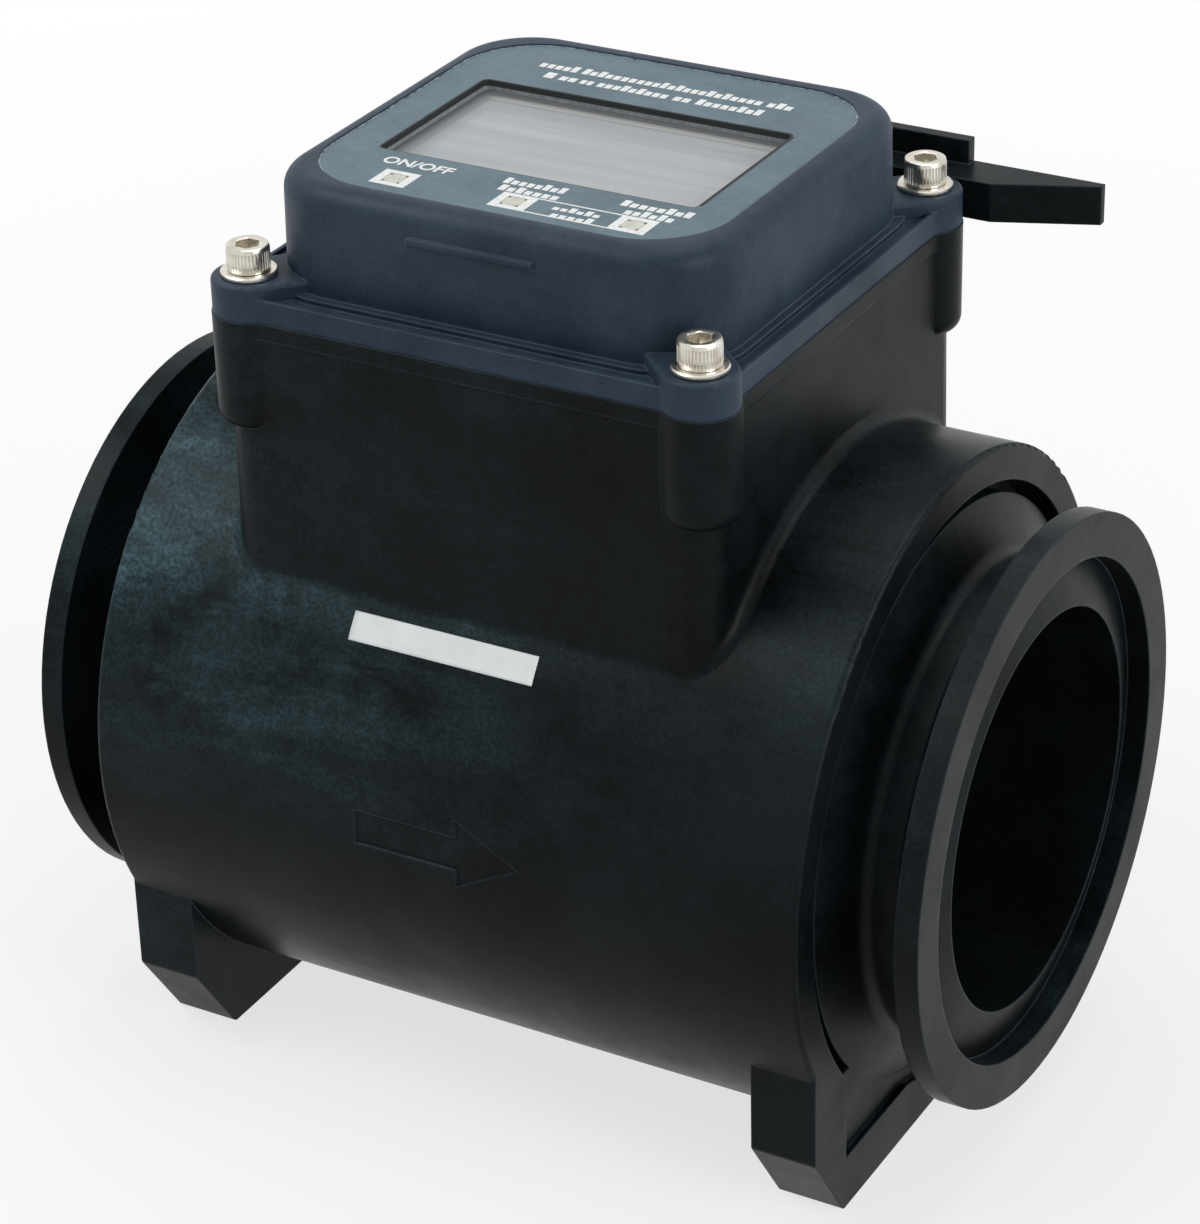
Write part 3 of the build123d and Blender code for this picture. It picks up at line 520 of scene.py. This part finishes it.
finishes = {
    "meter_body": body_plastic,
    "display_cover": cover_plastic,
    "face_panel": panel_film,
    "display_window": pane,
    "lcd_module": display,
    "lcd_frame": black_seal,
    "circuit_board": solder_mask,
    "board_screws": stainless,
    "cover_gasket": black_seal,
    "thread_inserts": brass,
    "pickup_sensor": turbine_plastic,
    "battery_holder": turbine_plastic,
    "battery_cell_1": cell_jacket,
    "battery_cell_2": cell_jacket,
    "contact_bridge": nickel,
    "contact_positive": nickel,
    "contact_negative": nickel,
    "rotor": turbine_plastic,
    "rotor_shaft": stainless,
    "rotor_magnet_1": nickel,
    "rotor_magnet_2": nickel,
    "inlet_support": turbine_plastic,
    "outlet_support": turbine_plastic,
    "inlet_bearing": bearing_plastic,
    "outlet_bearing": bearing_plastic,
    "inlet_retainer": stainless,
    "outlet_retainer": stainless,
    "cover_screws": stainless,
    "cover_washers": stainless,
    "touch_window_1": light_pipe,
    "touch_window_2": light_pipe,
    "touch_window_3": light_pipe,
}
for name, material in finishes.items():
    nodes[name].data.materials.clear()
    nodes[name].data.materials.append(material)


def new_object(name, data):
    """An object that is linked to the scene."""
    made = bpy.data.objects.new(name, data)
    bpy.context.scene.collection.objects.link(made)
    return made


def new_piece(name, mesh, material):
    """Makes a mesh a piece of the meter, in one material."""
    mesh.materials.clear()
    mesh.materials.append(material)
    piece = new_object(name, mesh)
    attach(piece, "meter")
    return piece


def piece_from(bm, name, material, smooth_degrees=None):
    """Turns a mesh that is drawn in millimetres into a piece of the meter."""
    bmesh.ops.recalc_face_normals(bm, faces=bm.faces)
    bmesh.ops.scale(bm, vec=(MM, MM, MM), verts=bm.verts)
    mesh = bpy.data.meshes.new(name)
    bm.to_mesh(mesh)
    bm.free()
    if smooth_degrees is not None:
        mesh.shade_smooth()
        mesh.set_sharp_from_angle(angle=math.radians(smooth_degrees))
    return new_piece(name, mesh, material)


def ring_of(bm, x, y, z, radii):
    """One ring of points about an upright axis, with a radius for each."""
    count = len(radii)
    return [
        bm.verts.new((
            x + radius * math.cos(2 * math.pi * i / count),
            y + radius * math.sin(2 * math.pi * i / count),
            z,
        ))
        for i, radius in enumerate(radii)
    ]


def join_rings(bm, rings, closed=False):
    """The bands of faces between each ring and the next, and back to the first where the rings are closed."""
    following = rings[1:] + rings[:1] if closed else rings[1:]
    for first, second in zip(rings, following):
        count = len(first)
        for i in range(count):
            j = (i + 1) % count
            bm.faces.new((first[i], first[j], second[j], second[i]))


# Number 10 socket cap screw
HEAD_RADIUS = 3.96
HEAD_HEIGHT = 4.83
SOCKET_ACROSS = 3.97
SOCKET_DEPTH = 2.4
SOCKET_LEAD = 0.15
SOCKET_LEAD_WIDTH = 0.1
SOCKET_FLAT = 0.55
KNURL_TEETH = 40
POINTS_PER_TOOTH = 6
KNURL_DEPTH = 0.22
RING_POINTS = KNURL_TEETH * POINTS_PER_TOOTH
SHANK_RADIUS = 2.4
THREAD_PITCH = 0.79
THREAD_DEPTH = 0.4
SHANK_POINTS = 24
THREAD_STEPS = 4


def hexagon_radii(across, count):
    """The radius of a hexagon at each of the angles of a ring."""
    radii = []
    for i in range(count):
        turn = math.degrees(2 * math.pi * i / count) % 60 - 30
        radii.append(across / 2 / math.cos(math.radians(turn)))
    return radii


def screw_head(bm, x, y):
    """A knurled head with its hexagon socket. The profile gives each ring's radius and its height."""
    knurl = [HEAD_RADIUS - KNURL_DEPTH * (i % POINTS_PER_TOOTH in (0, 1)) for i in range(RING_POINTS)]
    profile = [
        (HEAD_RADIUS - 0.3, 0.0),
        (HEAD_RADIUS - 0.08, 0.1),
        (HEAD_RADIUS - 0.08, 0.55),
        (knurl, 0.7),
        (knurl, HEAD_HEIGHT - 1.05),
        (HEAD_RADIUS - 0.03, HEAD_HEIGHT - 0.9),
        (HEAD_RADIUS - 0.05, HEAD_HEIGHT - 0.5),
        (HEAD_RADIUS - 0.2, HEAD_HEIGHT - 0.16),
        (HEAD_RADIUS - 0.5, HEAD_HEIGHT),
        (SOCKET_ACROSS / 2 + SOCKET_FLAT, HEAD_HEIGHT),
        (hexagon_radii(SOCKET_ACROSS + SOCKET_LEAD_WIDTH, RING_POINTS), HEAD_HEIGHT - SOCKET_LEAD),
        (hexagon_radii(SOCKET_ACROSS, RING_POINTS), HEAD_HEIGHT - SOCKET_DEPTH),
    ]
    rings = []
    for radius, height in profile:
        radii = radius if isinstance(radius, list) else [radius] * RING_POINTS
        rings.append(ring_of(bm, x, y, HEAD_UNDER + height, radii))
    join_rings(bm, rings)
    bm.faces.new(rings[-1])
    bm.faces.new(rings[0])


def screw_shank(bm, x, y):
    """The threaded shank: rings whose radii follow the thread as it winds down."""
    steps = int((HEAD_UNDER - SCREW_BOTTOM) / THREAD_PITCH * THREAD_STEPS)
    rings = []
    for step in range(steps + 1):
        z = HEAD_UNDER - step * THREAD_PITCH / THREAD_STEPS
        radii = []
        for i in range(SHANK_POINTS):
            phase = (step / THREAD_STEPS + i / SHANK_POINTS) % 1.0
            radii.append(SHANK_RADIUS - THREAD_DEPTH * abs(2 * phase - 1))
        rings.append(ring_of(bm, x, y, z, radii))
    join_rings(bm, rings)
    bm.faces.new(rings[0])
    bm.faces.new(rings[-1])


screw_places = [(MIDDLE_X + sx * SCREW_X, sy * SCREW_Y) for sx in (-1, 1) for sy in (-1, 1)]
bm = bmesh.new()
for x, y in screw_places:
    screw_head(bm, x, y)
    screw_shank(bm, x, y)
screws = piece_from(bm, "knurled_cap_screws", stainless, smooth_degrees=32)
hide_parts("cover_screws")

# Plain washers, with the rolled edge that stamping leaves
WASHER_RADIUS = 5.16
WASHER_BORE = 2.7
WASHER_ROLL = 0.25
WASHER_POINTS = 96
washer_profile = [
    (WASHER_BORE, WASHER_UNDER),
    (WASHER_RADIUS - WASHER_ROLL, WASHER_UNDER),
    (WASHER_RADIUS, WASHER_UNDER + WASHER_ROLL),
    (WASHER_RADIUS, HEAD_UNDER - WASHER_ROLL),
    (WASHER_RADIUS - WASHER_ROLL, HEAD_UNDER),
    (WASHER_BORE, HEAD_UNDER),
]
bm = bmesh.new()
for x, y in screw_places:
    rings = [ring_of(bm, x, y, height, [radius] * WASHER_POINTS) for radius, height in washer_profile]
    join_rings(bm, rings, closed=True)
washers = piece_from(bm, "stamped_washers", stainless, smooth_degrees=40)
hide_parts("cover_washers")

# Bare label on the shell
LABEL_START_X = 70.7
LABEL_LENGTH = 38.2
LABEL_LOW_ANGLE = 32.3
LABEL_HIGH_ANGLE = 37.1
LABEL_LIFT = 0.04
LABEL_THICKNESS = 0.16
LABEL_COLUMNS = 40
LABEL_ROWS = 10
label_radius = SHELL_RADIUS + LABEL_LIFT + LABEL_THICKNESS
bm = bmesh.new()
grid = []
for i in range(LABEL_COLUMNS + 1):
    x = LABEL_START_X + LABEL_LENGTH * i / LABEL_COLUMNS
    line = []
    for j in range(LABEL_ROWS + 1):
        angle = math.radians(LABEL_LOW_ANGLE + (LABEL_HIGH_ANGLE - LABEL_LOW_ANGLE) * j / LABEL_ROWS)
        line.append(bm.verts.new((x, -label_radius * math.cos(angle), label_radius * math.sin(angle))))
    grid.append(line)
for i in range(LABEL_COLUMNS):
    for j in range(LABEL_ROWS):
        bm.faces.new((grid[i][j], grid[i + 1][j], grid[i + 1][j + 1], grid[i][j + 1]))
label = piece_from(bm, "blank_label", label_vinyl, smooth_degrees=40)
thicken = label.modifiers.new("thickness", "SOLIDIFY")
thicken.thickness = LABEL_THICKNESS * MM
thicken.offset = -1.0

# Print on the panel
INK_THICKNESS = 0.05
FRAME_LENGTH = 7.1
FRAME_WIDTH = 6.4
FRAME_INSIDE = 3.9
LINK_WIDTH = 0.4
LETTER_PITCH = 1.6
LETTER_GAP = 0.4
TALL_RISE = 0.8


def ink_bar(bm, left, right, low, high):
    """A printed bar, in millimetres from the middle of the cover."""
    corners = [(left, low), (right, low), (right, high), (left, high)]
    lower = [bm.verts.new((MIDDLE_X + x, y, PANEL_TOP)) for x, y in corners]
    upper = [bm.verts.new((MIDDLE_X + x, y, PANEL_TOP + INK_THICKNESS)) for x, y in corners]
    bm.faces.new(upper)
    bm.faces.new(lower[::-1])
    join_rings(bm, [lower, upper])


def touch_frame(bm, centre):
    """A printed frame of four bars round a touch window."""
    half_length = FRAME_LENGTH / 2
    half_width = FRAME_WIDTH / 2
    hole = FRAME_INSIDE / 2
    ink_bar(bm, centre - half_length, centre + half_length, TOUCH_ROW + hole, TOUCH_ROW + half_width)
    ink_bar(bm, centre - half_length, centre + half_length, TOUCH_ROW - half_width, TOUCH_ROW - hole)
    ink_bar(bm, centre - half_length, centre - hole, TOUCH_ROW - hole, TOUCH_ROW + hole)
    ink_bar(bm, centre + hole, centre + half_length, TOUCH_ROW - hole, TOUCH_ROW + hole)


def frame_link(bm, edge):
    """A printed line between the second and third frames, along their upper or lower edge."""
    level = TOUCH_ROW + edge * (FRAME_WIDTH / 2 - LINK_WIDTH / 2)
    left = TOUCH_PLACES[1] + FRAME_LENGTH / 2
    right = TOUCH_PLACES[2] - FRAME_LENGTH / 2
    ink_bar(bm, left, right, level - LINK_WIDTH / 2, level + LINK_WIDTH / 2)


def word_blocks(bm, left, right, level, height):
    """A printed word as a row of plain blocks, about as wide as its letters. A fixed rule makes some of them
    taller."""
    count = max(1, round((right - left) / LETTER_PITCH))
    pitch = (right - left + LETTER_GAP) / count
    for i in range(count):
        start = left + i * pitch
        rise = TALL_RISE if (3 * count + 5 * i) % 7 in (0, 3) else 0.0
        ink_bar(bm, start, start + pitch - LETTER_GAP, level - height / 2, level + height / 2 + rise)


# Rows of words: where the row's middle lies, its height, and where each word starts and ends
word_rows = [
    (27.7, 1.9, [(-26.3, -18.4), (-17.2, -6.1), (-5.6, 8.4), (8.8, 20.0), (21.3, 26.2)]),
    (23.2, 1.9, [(-22.9, -20.9), (-19.6, -16.2), (-15.2, -12.7), (-11.6, 2.9), (4.3, 7.6), (9.0, 22.2)]),
    (-24.3, 1.7, [(-3.7, 8.4), (19.7, 33.3)]),
    (-27.4, 1.7, [(-3.0, 8.7), (22.0, 31.3)]),
    (-31.3, 1.2, [(10.0, 19.1)]),
    (-34.0, 1.2, [(11.1, 19.1)]),
]
bm = bmesh.new()
for centre in TOUCH_PLACES:
    touch_frame(bm, centre)
for edge in (-1, 1):
    frame_link(bm, edge)
for level, height, spans in word_rows:
    for left, right in spans:
        word_blocks(bm, left, right, level, height)
piece_from(bm, "printed_marks", white_ink)

# Switch letters, drawn as a text and kept as a mesh
LETTERS_X = -21.0
LETTERS_Y = -25.0
LETTERS_SIZE = 3.9
LETTERS_BOLDNESS = 0.09
letters = bpy.data.curves.new("switch_letters", "FONT")
letters.body = "ON/OFF"
letters.size = LETTERS_SIZE * MM
letters.align_x = "CENTER"
letters.align_y = "CENTER"
letters.extrude = INK_THICKNESS * MM / 2
letters.offset = LETTERS_BOLDNESS * MM
letter_curve = new_object("switch_letters_curve", letters)
bpy.context.view_layer.update()
letter_mesh = bpy.data.meshes.new_from_object(letter_curve)
bpy.data.objects.remove(letter_curve)
letters_middle = Vector((MIDDLE_X + LETTERS_X, LETTERS_Y, PANEL_TOP + INK_THICKNESS / 2))
letter_mesh.transform(Matrix.Translation(letters_middle * MM))
new_piece("switch_letters", letter_mesh, white_ink)

# Lining of the window opening: a black ring, and under it a paler lip
LINING_CLEARANCE = 0.1
LINING_LENGTH = WINDOW_LENGTH - LINING_CLEARANCE
LINING_WIDTH = WINDOW_WIDTH - LINING_CLEARANCE
LINING_WALL = 0.35
LINING_DROP = 0.1
LINING_PALE_SHARE = 0.42
LINING_CORNER = 1.5
CORNER_STEPS = 8


def rounded_loop(bm, length, width, corner, z, centre_y=WINDOW_Y, corner_steps=CORNER_STEPS):
    """A loop of points round a rectangle with rounded corners."""
    points = []
    for sx, sy, start in ((1, 1, 0), (-1, 1, 90), (-1, -1, 180), (1, -1, 270)):
        for step in range(corner_steps + 1):
            angle = math.radians(start + step * 90 / corner_steps)
            x = MIDDLE_X + sx * (length / 2 - corner) + corner * math.cos(angle)
            y = centre_y + sy * (width / 2 - corner) + corner * math.sin(angle)
            points.append(bm.verts.new((x, y, z)))
    return points


def lining_ring(name, low, high, material):
    """A thin upright ring that lies against the window's wall."""
    bm = bmesh.new()
    inner_length = LINING_LENGTH - 2 * LINING_WALL
    inner_width = LINING_WIDTH - 2 * LINING_WALL
    inner_corner = LINING_CORNER - LINING_WALL
    loops = [
        rounded_loop(bm, LINING_LENGTH, LINING_WIDTH, LINING_CORNER, low),
        rounded_loop(bm, LINING_LENGTH, LINING_WIDTH, LINING_CORNER, high),
        rounded_loop(bm, inner_length, inner_width, inner_corner, high),
        rounded_loop(bm, inner_length, inner_width, inner_corner, low),
    ]
    join_rings(bm, loops, closed=True)
    piece_from(bm, name, material, smooth_degrees=40)


lining_high = PANEL_TOP - LINING_DROP
lining_low = PANE_TOP + (lining_high - PANE_TOP) * LINING_PALE_SHARE
lining_ring("window_lining", lining_low, lining_high, black_seal)
lining_ring("window_lip", PANE_TOP, lining_low, grey_seal)

# Black line beside the window, where the lining turns over the panel's edge
EDGE_LINE_LEFT = WINDOW_LENGTH / 2
EDGE_LINE_WIDTH = 0.4
EDGE_LINE_REACH = WINDOW_WIDTH / 2 - LINING_CORNER
edge_line_low = WINDOW_Y - EDGE_LINE_REACH
edge_line_high = WINDOW_Y + EDGE_LINE_REACH
bm = bmesh.new()
ink_bar(bm, EDGE_LINE_LEFT, EDGE_LINE_LEFT + EDGE_LINE_WIDTH, edge_line_low, edge_line_high)
piece_from(bm, "window_edge_line", black_seal)

# Dried adhesive that shows as a pale broken line round the panel
BEAD_SETBACK = 0.01
BEAD_WALL = 0.32
BEAD_RISE = 0.1
BEAD_OUTER_SHARE = 0.4
BEAD_CORNER_STEPS = 16
bead_profile = [
    (BEAD_SETBACK, 0.0),
    (BEAD_SETBACK, BEAD_RISE * BEAD_OUTER_SHARE),
    (BEAD_SETBACK + BEAD_WALL, BEAD_RISE),
    (BEAD_SETBACK + BEAD_WALL, 0.0),
]
bm = bmesh.new()
loops = [
    rounded_loop(
        bm, PANEL_LENGTH - 2 * inset, PANEL_WIDTH - 2 * inset, PANEL_CORNER - inset, PANEL_TOP + rise,
        PANEL_Y, BEAD_CORNER_STEPS,
    )
    for inset, rise in bead_profile
]
join_rings(bm, loops, closed=True)
piece_from(bm, "panel_adhesive_line", dried_adhesive, smooth_degrees=40)

# Dark flecks in the corners of each light pipe
FLECK = 0.34
FLECK_REACH = 1.55
bm = bmesh.new()
for centre in TOUCH_PLACES:
    for sx in (-1, 1):
        for sy in (-1, 1):
            x = centre + sx * FLECK_REACH
            y = TOUCH_ROW + sy * FLECK_REACH
            ink_bar(bm, x - FLECK / 2, x + FLECK / 2, y - FLECK / 2, y + FLECK / 2)
piece_from(bm, "light_pipe_flecks", black_seal)


def seen_or_mirrored(tree):
    """1 for a ray that shows the surroundings, seen plainly, through glass or in a reflection, and 0 for one
    that lights the meter."""
    path = add(tree, "ShaderNodeLightPath")
    seen = add(
        tree, "ShaderNodeMath", {"operation": "MAXIMUM"},
        {0: path.outputs["Is Camera Ray"], 1: path.outputs["Is Transmission Ray"]},
    )
    either = add(
        tree, "ShaderNodeMath", {"operation": "MAXIMUM"},
        {0: seen.outputs[0], 1: path.outputs["Is Glossy Ray"]},
    )
    return either.outputs[0]


# Floor, in metres: it shows the meter's shadow near by and turns plain white further out
FLOOR_SIZE = 6.0
FLOOR_DROP = 0.0002
FLOOR_PALER_FROM = 0.12
FLOOR_WHITE_FROM = 0.6
FLOOR_SHARE_NEAR = 0.72
bm = bmesh.new()
bmesh.ops.create_grid(bm, x_segments=1, y_segments=1, size=FLOOR_SIZE)
floor_mesh = bpy.data.meshes.new("floor")
bm.to_mesh(floor_mesh)
bm.free()
floor = new_object("floor", floor_mesh)
floor.location = (MIDDLE_X * MM, 0.0, cad_low[2] - FLOOR_DROP)
floor_paint = bpy.data.materials.new("pale_studio_floor")
floor_paint.use_nodes = True
tree = floor_paint.node_tree
tree.nodes.clear()
output = add(tree, "ShaderNodeOutputMaterial")
matt = add(tree, "ShaderNodeBsdfDiffuse", {"Color": linear("#f4f4f3")})
pale = add(tree, "ShaderNodeEmission", {"Color": linear("#ffffff"), "Strength": 1.0})
place = add(tree, "ShaderNodeTexCoord").outputs["Object"]
distance = add(tree, "ShaderNodeVectorMath", {"operation": "LENGTH"}, {0: place})
paler = add(
    tree, "ShaderNodeMapRange",
    {"From Min": FLOOR_PALER_FROM, "From Max": FLOOR_WHITE_FROM, "To Min": FLOOR_SHARE_NEAR, "To Max": 1.0},
    {"Value": distance.outputs["Value"]},
)
share = add(
    tree, "ShaderNodeMath", {"operation": "MULTIPLY"}, {0: seen_or_mirrored(tree), 1: paler.outputs[0]}
)
blend = add(tree, "ShaderNodeMixShader", None, {0: share.outputs[0], 1: matt.outputs[0], 2: pale.outputs[0]})
tree.links.new(blend.outputs[0], output.inputs["Surface"])
floor_mesh.materials.append(floor_paint)

# Surroundings: white where they are seen, and a dim plain light on the meter
world = bpy.data.worlds.new("studio")
bpy.context.scene.world = world
world.use_nodes = True
tree = world.node_tree
tree.nodes.clear()
output = add(tree, "ShaderNodeOutputWorld")
lit = add(tree, "ShaderNodeBackground", {"Color": linear("#f2f4f6"), "Strength": 0.3})
shown = add(tree, "ShaderNodeBackground", {"Color": linear("#ffffff"), "Strength": 1.0})
chosen = add(
    tree, "ShaderNodeMixShader", None, {0: seen_or_mirrored(tree), 1: lit.outputs[0], 2: shown.outputs[0]}
)
tree.links.new(chosen.outputs[0], output.inputs["Surface"])

# Lamps, in metres and watts
LAMPS_AIM = Vector((MIDDLE_X * MM, 0.0, 0.02))


def soft_lamp(name, place, size, power):
    """A large soft lamp that looks at the middle of the meter."""
    light = bpy.data.lights.new(name, "AREA")
    light.size = size
    light.energy = power
    lamp = new_object(name, light)
    lamp.location = place
    aim = LAMPS_AIM - Vector(place)
    lamp.rotation_euler = aim.to_track_quat("-Z", "Y").to_euler()


soft_lamp("lamp_upper_left", place=(-0.6, -0.5, 1.1), size=0.7, power=7.0)
soft_lamp("lamp_top", place=(0.1, 0.3, 1.25), size=0.8, power=5.5)
soft_lamp("lamp_right", place=(1.25, -0.2, 0.45), size=0.6, power=6.5)

# Camera at the photograph's place, in millimetres from the inlet face, with its roll in radians
EYE = Vector((427.53, -583.62, 384.05))
TARGET = Vector((91.68, 0.0, 18.78))
ROLL = -0.027
FOCAL_PIXELS = 4022.8
LONG_SIDE_PIXELS = 1224
SENSOR = 36.0
NEAREST_SEEN = 0.01
forward = (TARGET - EYE).normalized()
right = forward.cross(Vector((0, 0, 1))).normalized()
up = right.cross(forward)
rolled_right = right * math.cos(ROLL) + up * math.sin(ROLL)
rolled_up = up * math.cos(ROLL) - right * math.sin(ROLL)
camera_data = bpy.data.cameras.new("photo_camera")
camera_data.sensor_width = SENSOR
camera_data.lens = FOCAL_PIXELS * SENSOR / LONG_SIDE_PIXELS
camera_data.clip_start = NEAREST_SEEN
camera = new_object("photo_camera", camera_data)
turn = Matrix((rolled_right, rolled_up, -forward)).transposed().to_4x4()
camera.matrix_world = Matrix.Translation(EYE * MM) @ turn
bpy.context.scene.camera = camera
bpy.context.scene.view_settings.view_transform = "Standard"
